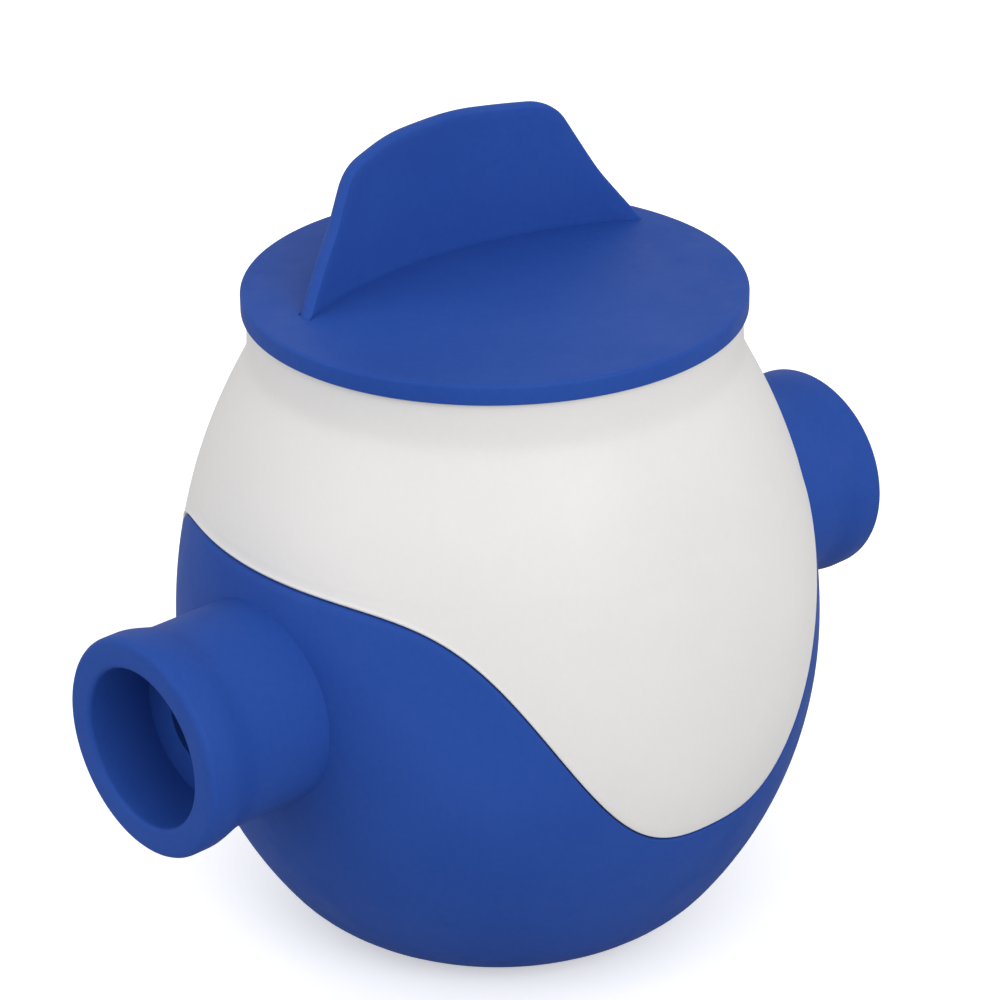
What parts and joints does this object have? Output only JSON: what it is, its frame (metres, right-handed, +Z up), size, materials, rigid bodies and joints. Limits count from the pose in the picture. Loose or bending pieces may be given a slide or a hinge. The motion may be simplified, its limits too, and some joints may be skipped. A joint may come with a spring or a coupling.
{
  "type": "pool chlorine tablet dispenser",
  "caption": "Round in-line tablet dispenser with two coaxial hose tails, a wavy two-colour shell and a screw-in lid with an upright grip fin.",
  "frame": {"origin": "centre of the foot ring's underside", "axes": "+Z up along the vessel's axis, X along the two hose tails with the inlet at -X, -Y the front"},
  "size_m": [0.1676, 0.12, 0.1505],
  "materials": {
    "blue_shell": "satin moulded polypropylene",
    "white_shell": "satin moulded polypropylene",
    "basket_plastic": "natural moulded polypropylene",
    "shutter_plastic": "satin moulded acetal",
    "seal_rubber": "matt elastomer",
    "steel_clip": "bright stainless"
  },
  "bodies": {
    "vessel": {"lower_housing": "blue_shell", "inlet_tail": "blue_shell", "outlet_tail": "blue_shell", "upper_housing": "white_shell", "housing_seal": "seal_rubber", "tablet_basket": "basket_plastic", "shutter_washer": "seal_rubber", "shutter_pivot": "basket_plastic", "pivot_clip": "steel_clip", "valve_seat": "blue_shell", "flap_pin": "steel_clip", "outlet_strainer": "basket_plastic", "drain_plug": "blue_shell", "drain_seal": "seal_rubber", "foot_ring": "seal_rubber"},
    "lid_carrier": {"lid_seal": "seal_rubber"},
    "lid": {"lid": "blue_shell"},
    "shutter": {"dose_shutter": "shutter_plastic"},
    "flap": {"check_flap": "shutter_plastic", "flap_pad": "seal_rubber"}
  },
  "joints": [
    {"name": "lid_rise", "type": "slide", "parent": "vessel", "child": "lid_carrier", "axis": [0, 0, 1], "range_m": [0, 0.048]},
    {"name": "lid_turn", "type": "hinge", "parent": "lid_carrier", "child": "lid", "pos_m": [0, 0, 0.122], "axis": [0, 0, 1], "range_deg": [0, 720]},
    {"name": "dose_turn", "type": "hinge", "parent": "vessel", "child": "shutter", "pos_m": [0, 0, 0.0166], "axis": [0, 0, 1], "range_deg": [0, 45]},
    {"name": "flap_swing", "type": "hinge", "parent": "vessel", "child": "flap", "pos_m": [-0.0606, 0, 0.0727], "axis": [0, -1, 0], "range_deg": [0, 60]}
  ],
  "couplings": [
    {"joint": "lid_rise", "follows": "lid_turn", "m_per_rad": 0.0038197}
  ]
}
